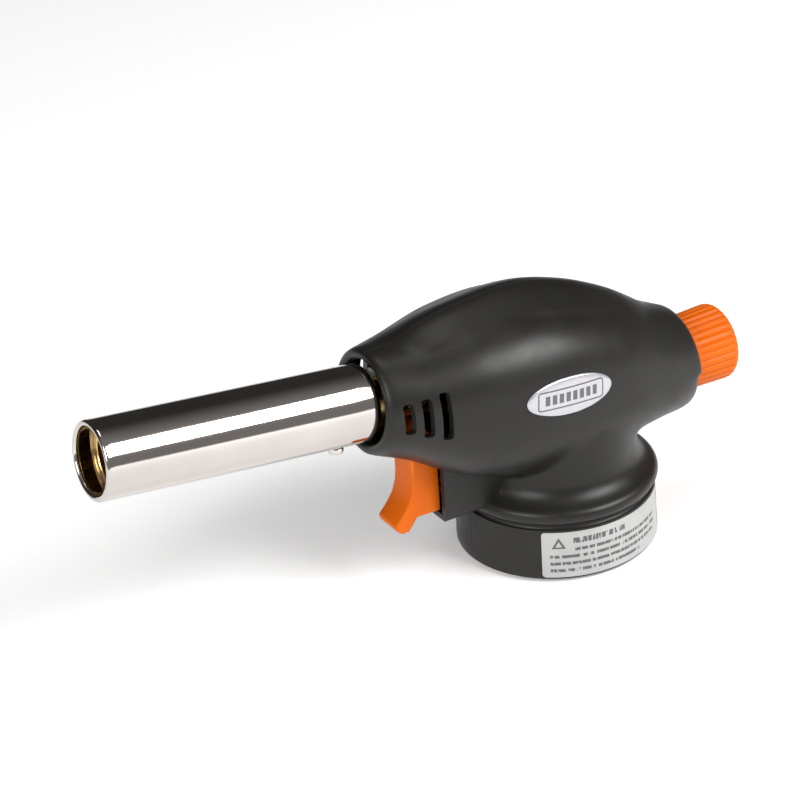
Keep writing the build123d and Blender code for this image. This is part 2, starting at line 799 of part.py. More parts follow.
mixer_bore = mixer_radius - mixer_sheet
with BuildPart() as mixing_tube:
    with BuildSketch(across_burner(mixer_rear)):
        Circle(mixer_radius)
        Circle(mixer_bore, mode=Mode.SUBTRACT)
    extrude(amount=mixer_front - mixer_rear)
    air_centre = air_hole_rear + air_hole_length / 2
    for turn in range(air_holes // 2):
        hole_plane = Plane(
            origin=burner_origin + burner_forward * air_centre,
            x_dir=burner_forward,
            z_dir=Vector(0, -1, 0).rotate(Axis((0, 0, 0), burner_forward), 360 / air_holes * turn),
        )
        with BuildSketch(hole_plane):
            SlotOverall(air_hole_length, air_hole_width)
        extrude(amount=tube_radius, both=True, mode=Mode.SUBTRACT)
save(mixing_tube.part, "mixing_tube")

with BuildPart() as flame_holder:
    with BuildSketch(across_burner(flame_holder_rear)):
        Circle(flame_holder_radius)
    extrude(amount=flame_holder_front - flame_holder_rear)
    with BuildSketch(across_burner(flame_holder_rear)):
        Circle(mixer_radius + seat_gap)
    extrude(amount=mixer_front + seat_gap - flame_holder_rear, mode=Mode.SUBTRACT)
    with BuildSketch(across_burner(mixer_front)):
        for ring_radius, ports in flame_port_rings:
            with PolarLocations(ring_radius, ports):
                Circle(flame_port_radius)
    extrude(amount=2 * flame_plate, mode=Mode.SUBTRACT)
save(flame_holder.part, "flame_holder")

sleeve_radius = tube_inner - running_gap
with BuildPart() as inner_sleeve:
    revolve(
        outline(
            burner_plane,
            [
                (sleeve_rear, sleeve_radius), (sleeve_front, sleeve_radius),
                (sleeve_front, sleeve_radius - sleeve_lip),
                (sleeve_front - sleeve_sheet, sleeve_radius - sleeve_lip),
                (sleeve_front - sleeve_sheet, sleeve_radius - sleeve_sheet),
                (sleeve_rear, sleeve_radius - sleeve_sheet),
            ],
        ),
        axis=burner_axis,
    )
save(inner_sleeve.part, "inner_sleeve")

with BuildPart() as jet_nozzle:
    jet_collar = mixer_bore - seat_gap
    revolve(
        outline(
            burner_plane,
            [
                (jet_rear, jet_bore), (jet_rear, jet_radius), (mixer_rear, jet_radius),
                (mixer_rear, jet_collar), (mixer_rear + jet_collar_length, jet_collar),
                (mixer_rear + jet_collar_length, jet_radius), (jet_front - jet_tip, jet_radius),
                (jet_front, jet_radius - jet_tip), (jet_front, jet_orifice),
                (jet_front - jet_tip, jet_orifice), (jet_front - jet_tip, jet_bore),
            ],
        ),
        axis=burner_axis,
    )
save(jet_nozzle.part, "jet_nozzle")

with BuildPart() as electrode_insulator:
    with BuildSketch(across_burner(insulator_rear)):
        with Locations((0, electrode_offset)):
            Circle(insulator_radius)
            Circle(electrode_radius + seat_gap, mode=Mode.SUBTRACT)
    extrude(amount=insulator_front - insulator_rear)
save(electrode_insulator.part, "electrode_insulator")

with BuildPart() as electrode_pin:
    with BuildSketch(across_burner(electrode_rear)):
        with Locations((0, electrode_offset)):
            Circle(electrode_radius)
    extrude(amount=electrode_front - electrode_rear)
save(electrode_pin.part, "electrode_pin")

# igniter and trigger
piezo_height = block_floor + block_wall + piezo_side / 2 + seat_gap


def along_piezo(place):
    # a plane square to the igniter's axis, facing the rear
    return Plane(origin=(place, 0, piezo_height), x_dir=(0, 1, 0), z_dir=(1, 0, 0))


with BuildPart() as piezo_case:
    with BuildSketch(along_piezo(piezo_front)):
        RectangleRounded(piezo_side, piezo_side, trigger_edge)
    extrude(amount=piezo_rear - piezo_front)
    with BuildSketch(along_piezo(piezo_front)):
        Circle(plunger_radius + running_gap)
    extrude(amount=piezo_bore_end - piezo_front, mode=Mode.SUBTRACT)
save(piezo_case.part, "piezo_case")

with BuildPart() as piezo_plunger:
    with BuildSketch(along_piezo(trigger_rear + seat_gap)):
        Circle(plunger_head_radius)
    extrude(amount=plunger_head)
    with BuildSketch(along_piezo(trigger_rear + seat_gap)):
        Circle(plunger_radius)
    extrude(amount=plunger_rear - trigger_rear)
save(piezo_plunger.part, "piezo_plunger")

spring_front = trigger_rear + plunger_head + spring_wire + 2 * seat_gap
spring_length = piezo_front - spring_wire - seat_gap - spring_front
with BuildPart() as piezo_spring:
    with BuildLine():
        coil = Helix(
            pitch=spring_length / spring_turns,
            height=spring_length,
            radius=spring_radius,
            center=(spring_front, 0, piezo_height),
            direction=(1, 0, 0),
        )
    with BuildSketch(Plane(origin=coil @ 0, z_dir=coil % 0)):
        Circle(spring_wire)
    sweep()
save(piezo_spring.part, "piezo_spring")

case_top = piezo_height + piezo_side / 2 + seat_gap
electrode_end = across_burner(electrode_rear - seat_gap).from_local_coords((0, electrode_offset))
wire_bend = across_burner(electrode_rear - wire_straight).from_local_coords((0, electrode_offset))
with BuildPart() as ignition_wire:
    with BuildLine() as wire_path:
        FilletPolyline(
            (*wire_start, case_top), *wire_route, wire_bend, electrode_end, radius=wire_bend_radius
        )
    with BuildSketch(Plane(origin=wire_path.line @ 0, z_dir=wire_path.line % 0)):
        Circle(wire_radius)
    sweep()
save(ignition_wire.part, "ignition_wire")

with BuildPart() as trigger:
    with BuildSketch(Plane.XZ.offset(-trigger_width / 2)):
        with BuildLine():
            Line((arm_front, trigger_top), (arm_front, trigger_heel))
            finger = Spline(*finger_curve, tangents=finger_ends)
            Polyline(
                finger @ 1, *finger_tip, (trigger_rear, trigger_foot), (trigger_rear, trigger_heel),
                (arm_rear, arm_foot), (arm_rear, trigger_top), (arm_front, trigger_top),
            )
        make_face()
    extrude(amount=trigger_width)
    # flange that keeps the trigger in the shells
    with BuildSketch(Plane.XY.offset(trigger_top)):
        with Locations(((arm_front + arm_rear) / 2, 0)):
            Rectangle(arm_rear - arm_front, trigger_flange_width)
    extrude(amount=-trigger_flange)
save(trigger.part, "trigger")
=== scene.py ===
# butane torch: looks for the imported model, in metres, in the model's own frame
import json
import math

import bmesh
import bpy
from mathutils import Matrix, Vector


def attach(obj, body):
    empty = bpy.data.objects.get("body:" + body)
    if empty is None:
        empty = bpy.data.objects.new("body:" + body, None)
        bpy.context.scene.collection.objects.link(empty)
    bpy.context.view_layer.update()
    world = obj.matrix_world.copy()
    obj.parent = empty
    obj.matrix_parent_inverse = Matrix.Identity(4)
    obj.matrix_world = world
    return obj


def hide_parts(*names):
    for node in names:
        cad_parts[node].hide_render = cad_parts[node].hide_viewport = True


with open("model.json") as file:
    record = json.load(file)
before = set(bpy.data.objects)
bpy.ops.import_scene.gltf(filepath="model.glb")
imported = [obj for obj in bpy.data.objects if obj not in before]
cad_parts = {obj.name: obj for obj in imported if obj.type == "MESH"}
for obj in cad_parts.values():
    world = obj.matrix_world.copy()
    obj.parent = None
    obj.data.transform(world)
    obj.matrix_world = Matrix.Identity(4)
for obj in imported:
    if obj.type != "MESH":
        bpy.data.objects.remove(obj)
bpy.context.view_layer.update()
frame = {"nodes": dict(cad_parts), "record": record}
mm = 0.001  # sizes below are in millimetres
print("frame loaded")


class Field:
    # one shader socket, so that maths on it reads as maths
    def __init__(self, tree, socket):
        self.tree = tree
        self.socket = socket

    def maths(self, kind, *others):
        step = self.tree.nodes.new("ShaderNodeMath")
        step.operation = kind
        for place, value in enumerate((self, *others)):
            plug(value, step.inputs[place])
        return Field(self.tree, step.outputs[0])

    def __add__(self, other):
        return self.maths("ADD", other)

    def __sub__(self, other):
        return self.maths("SUBTRACT", other)

    def __mul__(self, other):
        return self.maths("MULTIPLY", other)

    def __rsub__(self, other):
        return (self * -1.0).maths("ADD", other)

    __radd__ = __add__
    __rmul__ = __mul__


def plug(value, socket):
    # a field is linked to the socket, a plain value is set on it
    if isinstance(value, Field):
        value.tree.links.new(value.socket, socket)
    else:
        socket.default_value = value


class Wiring:
    # makes the nodes of one material or world
    def __init__(self, tree):
        self.tree = tree

    def node(self, kind, sockets, output=0, **settings):
        made = self.tree.nodes.new(kind)
        for key, value in settings.items():
            setattr(made, key, value)
        for key, value in sockets.items():
            plug(value, made.inputs[key])
        return Field(self.tree, made.outputs[output])

    def ramp(self, value, low, high, start=0.0, end=1.0):
        # goes smoothly from start to end while value goes from low to high
        span = {"From Min": low, "From Max": high, "To Min": start, "To Max": end}
        return self.node(
            "ShaderNodeMapRange", {"Value": value, **span}, interpolation_type="SMOOTHSTEP"
        )


class Finish(Wiring):
    # a material with one principled shader
    def __init__(self, name, colour, roughness, metallic=0.0):
        self.material = bpy.data.materials.new(name)
        self.material.use_nodes = True
        super().__init__(self.material.node_tree)
        self.shader = self.tree.nodes["Principled BSDF"]
        self.put("Base Color", (*colour, 1.0))
        self.put("Roughness", roughness)
        self.put("Metallic", metallic)
        self.place = self.node("ShaderNodeTexCoord", {}, "Object")

    def put(self, name, value):
        plug(value, self.shader.inputs[name])

    def noise(self, scale, detail=3.0, rough=0.55, where=None):
        return self.node(
            "ShaderNodeTexNoise",
            {"Vector": where or self.place, "Scale": scale, "Detail": detail, "Roughness": rough},
        )

    def mix(self, factor, a, b):
        # a and b are colours or fields
        a, b = ((*c, 1.0) if isinstance(c, tuple) else c for c in (a, b))
        return self.node("ShaderNodeMix", {0: factor, 6: a, 7: b}, 2, data_type="RGBA")

    def bump(self, height, strength, distance=0.0001):
        relief = {"Height": height, "Strength": strength, "Distance": distance}
        self.put("Normal", self.node("ShaderNodeBump", relief))

    def stretched(self, scale, where=None):
        return self.node("ShaderNodeMapping", {"Vector": where or self.place, "Scale": scale})

    def paintedEdgeHighlight(self):
        # 1 on outer edges, where a lighter colour is painted as a highlight
        return self.ramp(self.node("ShaderNodeNewGeometry", {}, "Pointiness"), 0.54, 0.66)

    def flatMap(self):
        # the piece's own flat map, and its two directions in millimetres
        flat = self.node("ShaderNodeUVMap", {}, uv_map="flat")
        u, v = (self.node("ShaderNodeSeparateXYZ", {0: flat}, part) for part in (0, 1))
        return flat, u, v


def darkPlastic():
    f = Finish("shellPlastic", (0.04, 0.038, 0.034), 0.45)
    cloud = f.ramp(f.noise(45.0, 4.0), 0.35, 0.7)
    tone = f.mix(cloud, (0.0105, 0.0100, 0.0090), (0.0130, 0.0125, 0.0112))
    # outer edges are painted lighter as a highlight
    f.put("Base Color", f.mix(f.paintedEdgeHighlight() * 0.5, tone, (0.04, 0.039, 0.036)))
    f.put("Roughness", f.ramp(f.noise(160.0, 4.0), 0.3, 0.75, 0.34, 0.42))
    f.put("Specular IOR Level", 0.30)
    f.bump(f.noise(5200.0, 2.0), 0.10)
    return f.material


def orangePlastic():
    f = Finish("orangePlastic", (0.95, 0.20, 0.008), 0.4)
    cloud = f.ramp(f.noise(60.0, 3.0), 0.3, 0.75)
    tone = f.mix(cloud, (0.64, 0.118, 0.002), (0.58, 0.102, 0.002))
    # outer edges are painted a lighter orange as a highlight
    f.put("Base Color", f.mix(f.paintedEdgeHighlight() * 0.4, tone, (0.9, 0.22, 0.03)))
    f.put("Specular IOR Level", 0.15)
    f.put("Roughness", f.ramp(f.noise(220.0, 4.0), 0.3, 0.7, 0.36, 0.47))
    f.bump(f.noise(4200.0, 2.0), 0.06)
    return f.material


def chrome():
    f = Finish("brightChrome", (0.86, 0.86, 0.85), 0.06, metallic=1.0)
    smear = f.noise(35.0, 4.0)
    polish = f.noise(1.0, 5.0, 0.7, f.stretched((60.0, 900.0, 900.0)))
    tone = f.mix(f.ramp(smear, 0.35, 0.75), (0.60, 0.56, 0.53), (0.53, 0.49, 0.465))
    f.put("Base Color", tone)
    f.put("Roughness", f.ramp(smear, 0.3, 0.8, 0.045, 0.10))
    f.bump(polish, 0.012)
    return f.material


def turnedMetal(name, light, dark, roughness):
    f = Finish(name, light, roughness, metallic=1.0)
    stain = f.noise(180.0, 5.0)
    toolMarks = f.noise(1.0, 3.0, 0.6, f.stretched((3500.0, 120.0, 120.0)))
    tone = f.mix(f.ramp(stain, 0.35, 0.75), light, dark)
    # a brighter colour is painted on outer edges as a highlight
    bright = tuple(min(1.0, 1.18 * c) for c in light)
    f.put("Base Color", f.mix(f.paintedEdgeHighlight() * 0.6, tone, bright))
    f.put("Roughness", f.ramp(stain, 0.3, 0.8, roughness, roughness + 0.14))
    f.bump(toolMarks, 0.08)
    return f.material


def rubber():
    f = Finish("blackRubber", (0.018, 0.018, 0.018), 0.7)
    dust = f.ramp(f.noise(140.0, 5.0), 0.45, 0.8)
    f.put("Base Color", f.mix(dust, (0.016, 0.016, 0.016), (0.035, 0.034, 0.032)))
    f.put("Roughness", f.ramp(dust, 0.0, 1.0, 0.62, 0.82))
    f.bump(f.noise(3000.0, 3.0), 0.15)
    return f.material


def moulded(name, light, dark, roughness):
    f = Finish(name, light, roughness)
    f.put("Base Color", f.mix(f.ramp(f.noise(120.0, 4.0), 0.3, 0.75), light, dark))
    wear = f.ramp(f.noise(300.0, 3.0), 0.3, 0.75, roughness, roughness + 0.12)
    f.put("Roughness", wear)
    f.bump(f.noise(2500.0, 3.0), 0.08)
    return f.material


labelPrint = {
    # middle height, half height, start, end of each printed bar
    "bars": [
        (10.0, 0.75, 7.0, 22.0),
        (7.6, 0.42, 8.2, 34.5),
        (5.7, 0.42, 2.0, 35.5),
        (3.8, 0.42, 2.0, 34.0),
        (1.9, 0.42, 2.0, 27.0),
    ],
    "signMiddle": 4.2,
    "signFoot": 7.9,
    "signHalf": 1.8,
    "signHollow": 1.15,
    "signLean": 0.58,
}


def printedBars(f, along, across, rows):
    total = None
    for middle, half, start, end in rows:
        row = f.ramp((across - middle).maths("ABSOLUTE"), half * 0.9, half * 1.1, 1.0, 0.0)
        row = row * f.ramp(along, start - 0.05, start + 0.05)
        row = row * f.ramp(along, end - 0.05, end + 0.05, 1.0, 0.0)
        total = row if total is None else total.maths("MAXIMUM", row)
    return total


def labelFoil():
    # u and v start at the label's lower left corner
    f = Finish("labelFoil", (0.62, 0.62, 0.62), 0.35)
    flat, u, v = f.flatMap()
    bars = printedBars(f, u, v, labelPrint["bars"])
    gaps = f.ramp(f.noise(1.0, 1.0, 0.5, f.stretched((1.6, 0.25, 1.0), flat)), 0.40, 0.47)
    # triangle outline: an outer triangle less an inner one
    rise = v - labelPrint["signFoot"]
    spread = (u - labelPrint["signMiddle"]).maths("ABSOLUTE") + rise * labelPrint["signLean"]
    half, hollow = labelPrint["signHalf"], labelPrint["signHollow"]
    outer = f.ramp(spread, half - 0.05, half + 0.05, 1.0, 0.0) * f.ramp(rise, 0.0, 0.1)
    inner = f.ramp(spread, hollow - 0.05, hollow + 0.05, 1.0, 0.0) * f.ramp(rise, 0.45, 0.55)
    ink = (bars * gaps).maths("MAXIMUM", outer - inner)
    cloud = f.ramp(f.noise(90.0, 4.0), 0.3, 0.75)
    foil = f.mix(cloud, (0.36, 0.36, 0.355), (0.42, 0.42, 0.415))
    f.put("Base Color", f.mix(ink * 0.9, foil, (0.05, 0.05, 0.05)))
    f.put("Roughness", f.ramp(f.noise(400.0, 3.0), 0.3, 0.75, 0.34, 0.46) + ink * 0.1)
    f.bump(ink * -1.0 + f.noise(1500.0, 2.0) * 0.3, 0.05)
    return f.material


badgePrint = {
    "borderLong": 9.2,
    "borderHigh": 2.3,
    "borderCorner": 0.7,
    "blocksPerMm": 0.52,
    "blocksLong": 7.65,
    "blocksHigh": 1.2,
}


def badgeSilver():
    # u and v start at the badge's centre, along and across it
    f = Finish("badgeSilver", (0.68, 0.68, 0.70), 0.32, metallic=0.6)
    flat, u, v = f.flatMap()
    along, across = u.maths("ABSOLUTE"), v.maths("ABSOLUTE")
    # distance from the line of a rounded rectangle
    corner = badgePrint["borderCorner"]
    du = (along - (badgePrint["borderLong"] - corner)).maths("MAXIMUM", 0.0)
    dv = (across - (badgePrint["borderHigh"] - corner)).maths("MAXIMUM", 0.0)
    off = ((du * du + dv * dv).maths("SQRT") - corner).maths("ABSOLUTE")
    border = f.ramp(off, 0.14, 0.24, 1.0, 0.0)
    # a row of plain blocks inside the border
    beat = ((u * badgePrint["blocksPerMm"]).maths("FRACT") - 0.5).maths("ABSOLUTE")
    high, long = badgePrint["blocksHigh"], badgePrint["blocksLong"]
    blocks = f.ramp(beat, 0.30, 0.36, 1.0, 0.0)
    blocks = blocks * f.ramp(across, high - 0.05, high + 0.05, 1.0, 0.0)
    blocks = blocks * f.ramp(along, long - 0.05, long + 0.05, 1.0, 0.0)
    ink = border.maths("MAXIMUM", blocks)
    brushed = f.noise(1.0, 4.0, 0.6, f.stretched((0.6, 22.0, 1.0), flat))
    silver = f.mix(f.ramp(brushed, 0.3, 0.75), (0.60, 0.59, 0.62), (0.46, 0.455, 0.48))
    f.put("Base Color", f.mix(ink * 0.9, silver, (0.05, 0.05, 0.055)))
    f.put("Metallic", 0.85 - ink * 0.85)
    f.put("Roughness", f.ramp(brushed, 0.3, 0.75, 0.28, 0.42))
    f.bump(ink * -1.0 + brushed * 0.2, 0.15)
    return f.material


looks = {
    "shell_plastic": darkPlastic(),
    "orange_plastic": orangePlastic(),
    "bright_chrome": chrome(),
    "brass": turnedMetal("turnedBrass", (0.80, 0.55, 0.22), (0.62, 0.40, 0.14), 0.24),
    "zinc_steel": turnedMetal("zincSteel", (0.66, 0.67, 0.68), (0.50, 0.51, 0.52), 0.28),
    "stainless": turnedMetal("stainless", (0.60, 0.59, 0.57), (0.45, 0.44, 0.42), 0.30),
    "black_rubber": rubber(),
    "silver_badge": badgeSilver(),
    "silver_label": labelFoil(),
    "ceramic_white": moulded("whiteCeramic", (0.82, 0.80, 0.74), (0.70, 0.67, 0.60), 0.45),
    "wire_cover": moulded("wireCover", (0.50, 0.03, 0.02), (0.38, 0.02, 0.015), 0.35),
    "case_plastic": moulded("casePlastic", (0.03, 0.03, 0.03), (0.045, 0.045, 0.045), 0.35),
}
nodeSlots = {part["node"]: part["material_slot"] for part in frame["record"]["subparts"]}
for name, node in frame["nodes"].items():
    node.data.materials.clear()
    node.data.materials.append(looks[nodeSlots[name]])
print("materials made")


def objectOf(bm, name):
    mesh = bpy.data.meshes.new(name)
    bm.to_mesh(mesh)
    bm.free()
    obj = bpy.data.objects.new(name, mesh)
    bpy.context.collection.objects.link(obj)
    return obj


def loose(bm, name):
    # a helper object that isn't a piece
    bmesh.ops.recalc_face_normals(bm, faces=bm.faces)
    return objectOf(bm, name)


def reopened(obj):
    # back from a helper object to a bmesh
    bm = bmesh.new()
    bm.from_mesh(obj.data)
    bpy.data.objects.remove(obj)
    return bm


def finishPiece(bm, name, nodes, look, body="torch", sharp=32.0):
    # edges past the sharp angle stay hard; the piece stands for the CAD nodes
    bmesh.ops.remove_doubles(bm, verts=bm.verts, dist=1e-7)
    bmesh.ops.recalc_face_normals(bm, faces=bm.faces)
    for face in bm.faces:
        face.smooth = True
    for edge in bm.edges:
        if len(edge.link_faces) == 2:
            edge.smooth = edge.calc_face_angle(0.0) < math.radians(sharp)
    obj = objectOf(bm, name)
    obj.data.materials.append(looks[look])
    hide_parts(*nodes)
    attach(obj, body)


def joinRings(bm, rings, backToStart=True, closedRings=True):
    # neighbouring rings of points are joined into quads
    made = [[bm.verts.new(point) for point in ring] for ring in rings]
    following = made[1:] + (made[:1] if backToStart else [])
    for first, second in zip(made, following):
        for k in range(len(first) if closedRings else len(first) - 1):
            n = (k + 1) % len(first)
            bm.faces.new((first[k], first[n], second[n], second[k]))


def closeFlatEnds(bm):
    openEdges = [edge for edge in bm.edges if len(edge.link_faces) == 1]
    bmesh.ops.triangle_fill(bm, edges=openEdges, use_beauty=True)


def prism(points, low, high, axis="Y"):
    # flat outline pushed along Y or Z
    def put(a, b, c):
        return (a, c, b) if axis == "Y" else (a, b, c)

    bm = bmesh.new()
    face = bm.faces.new([bm.verts.new(put(a, b, low)) for a, b in points])
    moved = bmesh.ops.extrude_face_region(bm, geom=[face])["geom"]
    verts = [v for v in moved if isinstance(v, bmesh.types.BMVert)]
    bmesh.ops.translate(bm, verts=verts, vec=put(0, 0, high - low))
    bmesh.ops.recalc_face_normals(bm, faces=bm.faces)
    bmesh.ops.scale(bm, vec=(mm, mm, mm), verts=bm.verts)
    return bm


def boxOf(low, high):
    bm = bmesh.new()
    bmesh.ops.create_cube(bm, size=1.0)
    low, high = Vector(low), Vector(high)
    bmesh.ops.scale(bm, vec=(high - low) * mm, verts=bm.verts)
    bmesh.ops.translate(bm, vec=(high + low) / 2 * mm, verts=bm.verts)
    return loose(bm, "boxCut")


def rodAlongY(x, z, radius, low, high, count=32):
    turns = [math.tau * k / count for k in range(count)]
    points = [(x + radius * math.cos(turn), z + radius * math.sin(turn)) for turn in turns]
    return loose(prism(points, low, high), "rodCut")


def cutWith(obj, cutter, kind="DIFFERENCE"):
    # boolean, applied at once
    step = obj.modifiers.new("cut", "BOOLEAN")
    step.object = cutter
    step.operation = kind
    step.solver = "EXACT"
    graph = bpy.context.evaluated_depsgraph_get()
    graph.update()
    mesh = bpy.data.meshes.new_from_object(obj.evaluated_get(graph))
    obj.modifiers.clear()
    old = obj.data
    obj.data = mesh
    mesh.name = old.name
    bpy.data.meshes.remove(old)
    bpy.data.objects.remove(cutter)


def arcThrough(a, b, c, count=8):
    # points on the circle through three points, from a to c
    (ax, ay), (bx, by), (cx, cy) = a, b, c
    aa, bb, cc = ax**2 + ay**2, bx**2 + by**2, cx**2 + cy**2
    d = 2 * (ax * (by - cy) + bx * (cy - ay) + cx * (ay - by))
    ux = (aa * (by - cy) + bb * (cy - ay) + cc * (ay - by)) / d
    uy = (aa * (cx - bx) + bb * (ax - cx) + cc * (bx - ax)) / d
    r = math.hypot(ax - ux, ay - uy)
    start, middle, end = (math.atan2(y - uy, x - ux) for x, y in (a, b, c))
    middle = start + (middle - start + math.pi) % math.tau - math.pi
    end = middle + (end - middle + math.pi) % math.tau - math.pi
    turns = [start + (end - start) * k / count for k in range(count + 1)]
    return [(ux + r * math.cos(turn), uy + r * math.sin(turn)) for turn in turns]


def smoothBetween(stations, x):
    # smooth curve through the stations, one value for each column after x
    index = max(0, min(len(stations) - 2, sum(1 for s in stations[1:] if s[0] < x)))
    a, b = stations[index], stations[index + 1]
    before = stations[index - 1] if index > 0 else a
    after = stations[index + 2] if index + 2 < len(stations) else b
    width = b[0] - a[0]
    t = (x - a[0]) / width
    values = []
    for column in range(1, len(a)):
        slopeA = (b[column] - before[column]) / (b[0] - before[0])
        slopeB = (after[column] - a[column]) / (after[0] - a[0])
        values.append(
            (2 * t**3 - 3 * t**2 + 1) * a[column]
            + (t**3 - 2 * t**2 + t) * width * slopeA
            + (-2 * t**3 + 3 * t**2) * b[column]
            + (t**3 - t**2) * width * slopeB
        )
    return values


burner = {"height": 47.9, "pitch": math.radians(6.7)}
burnerAlong = Vector((-math.cos(burner["pitch"]), 0, math.sin(burner["pitch"])))
burnerOrigin = Vector((0, 0, burner["height"] * mm))
valveHeight = 37.6


def turnedOnBurner(profile, steps):
    # closed outline of (distance, radius) spun about the burner's axis
    bm = bmesh.new()
    side = burnerAlong.cross(Vector((0, 1, 0))).normalized()
    verts = [
        bm.verts.new(burnerOrigin + burnerAlong * (d * mm) + side * (r * mm)) for d, r in profile
    ]
    edges = [bm.edges.new((a, b)) for a, b in zip(verts, verts[1:] + verts[:1])]
    bmesh.ops.spin(
        bm, geom=verts + edges, cent=burnerOrigin, axis=burnerAlong, angle=math.tau,
        steps=steps, use_merge=True, use_normal_flip=False,
    )
    return bm


housingFront, housingRear = -53.0, 36.4
frontHeight = burner["height"] - housingFront * math.tan(burner["pitch"])
housing = {
    # x, centre height, half width, rise, drop, squareness, lean in degrees
    "body": [
        (housingFront, frontHeight, 12.7, 12.7, 12.7, 2.0, 6.7),
        (-43.0, 52.8, 16.4, 14.4, 15.6, 2.15, 6.0),
        (-28.0, 50.5, 20.2, 19.0, 22.0, 2.35, 4.0),
        (-10.0, 47.5, 22.0, 21.6, 23.3, 2.5, 2.0),
        (10.0, 43.5, 20.3, 20.3, 18.6, 2.4, 0.0),
        (25.0, 39.8, 16.6, 16.4, 14.2, 2.2, 0.0),
        (housingRear, valveHeight, 13.2, 13.2, 13.2, 2.0, 0.0),
    ],
    # x, crest height, distance of the fold from the middle, softness of the fold
    "spine": [
        (-50.0, 64.5, 6.0, 0.5),
        (-38.0, 69.8, 7.4, 0.4),
        (-22.0, 72.0, 9.2, 0.3),
        (-8.0, 71.8, 10.1, 0.2),
        (6.0, 67.9, 9.6, 0.2),
        (18.0, 62.0, 8.2, 0.2),
        (28.5, 54.6, 6.6, 0.2),
        (34.5, 50.3, 5.6, 0.2),
        (38.0, 47.6, 5.2, 0.2),
    ],
    "spineSlope": 0.62,
    "spineRound": 5.0,
    "spineFold": 0.12,
    "wall": 2.0,
    "seam": 0.06,
    "around": 72,
    "frontHole": 10.4,
    "rearHole": 10.0,
    # x, bottom, top of each slot
    "vents": [(-48.2, 50.0, 57.7), (-44.0, 48.4, 58.2), (-39.7, 46.9, 59.0)],
    "ventWidth": 2.4,
    "ventCorner": 0.8,
    # x, z
    "screws": [(-31.0, 62.4), (21.5, 50.0), (-16.0, 36.9), (13.6, 27.3)],
    "screwHole": 2.45,
}
foot = {
    "radius": 25.2,
    "bottom": 0.8,
    "draft": math.radians(1.5),
    "groove": [(24.84, 14.4), (24.1, 15.1), (24.6, 15.9)],
    "collar": [(24.6, 15.9), (25.7, 17.5), (24.3, 19.8)],
    "fillet": [(24.3, 19.8), (21.6, 21.9), (20.6, 25.0)],
    "neckRise": 0.8,
    "neckSteps": 20,
    # from the neck's top down the inner wall and under the floor
    "inside": [
        (18.6, 41.0), (18.6, 25.0), (22.1, 17.5), (22.1, 14.4),
        (6.9, 14.4), (6.9, 12.5), (22.9, 12.5),
    ],
    "around": 96,
}
block = {
    "front": -36.0,
    "rear": -15.0,
    "half": 7.0,
    "bottom": 18.2,
    "top": 38.0,
    "edge": 0.9,
    # low and high corners of the rooms for the igniter and the trigger
    "igniterRoom": ((-40.0, -5.5, 19.7), (-17.0, 5.0, 33.5)),
    "triggerRoom": ((-43.8, -4.65, 19.7), (-30.0, 5.0, 41.35)),
}
# where the neck is blended into the body: folds sharper than the angle are looked for
blend = {
    "foldAngle": math.radians(24),
    "foldTop": 36.0,
    "bottom": 21.0,
    "top": 38.0,
    "reach": 3.6,
    "rounds": 22,
}


def footRadius(z):
    return foot["radius"] - (z - foot["bottom"]) * math.tan(foot["draft"])


def spineFall(y, fold):
    # how far the spine's surface has dropped from its crest at y
    past = max(0.0, y - fold)
    roof = housing["spineSlope"] * (math.hypot(y, housing["spineRound"]) - housing["spineRound"])
    return roof + housing["spineFold"] * past**2


def housingRing(x, inset=0.0, hole=None):
    # half ring from the top seam down the -Y side to the bottom seam
    height, half, rise, drop, square, lean = smoothBetween(housing["body"], x)
    crest, fold, soft = smoothBetween(housing["spine"], x)
    tilt = math.radians(lean)
    around = housing["around"]
    ring = []
    for step in range(around + 1):
        s, c = math.sin(math.pi * step / around), math.cos(math.pi * step / around)
        tall = rise if c > 0 else drop
        radius = (abs(s / half) ** square + abs(c / tall) ** square) ** (-1 / square)
        if c > 0.3:
            # halving finds where this direction meets the spine
            low, high = 0.0, 60.0
            for _ in range(26):
                spine = (low + high) / 2
                if c * spine + height + spineFall(s * spine, fold) > crest:
                    high = spine
                else:
                    low = spine
            # smooth maximum of the two
            gap = max(soft - abs(radius - spine), 0.0) / soft
            radius = max(radius, spine) + gap * gap * soft / 4
        radius = hole or radius - inset
        up, out = radius * c, max(radius * s, housing["seam"])
        if step in (0, around):
            out = housing["seam"]
        ring.append(Vector((x + up * math.sin(tilt), -out, height + up * math.cos(tilt))) * mm)
    return ring


def halfHousing():
    # each list runs along the half: mouth, outside, rear rim, inside
    front, back = housingFront, housingRear
    hole, rear = housing["frontHole"], housing["rearHole"]
    mouth = ((2.5, 0.0), (0.7, 0.0), (0.2, 0.35), (0.0, 1.0))
    rings = [housingRing(front + x, hole=hole + r) for x, r in mouth]
    rings += [housingRing(front + x, inset=inset) for x, inset in ((0.15, 0.55), (0.7, 0.12))]
    rings += [housingRing(front + 1.9 + (back - front - 3.1) * k / 64) for k in range(65)]
    rim = ((0.6, 0.12), (0.2, 0.45), (0.0, 1.0))
    rings += [housingRing(back - x, inset=inset) for x, inset in rim]
    rings += [housingRing(back - x, hole=rear + r) for x, r in ((0.0, 0.4), (0.2, 0.0), (2.3, 0.0))]
    inside = [back - 2.5 - (back - front - 5.4) * k / 48 for k in range(49)]
    rings += [housingRing(x, inset=housing["wall"]) for x in inside]
    bm = bmesh.new()
    joinRings(bm, rings, closedRings=False)
    closeFlatEnds(bm)
    return loose(bm, "housingHalf")


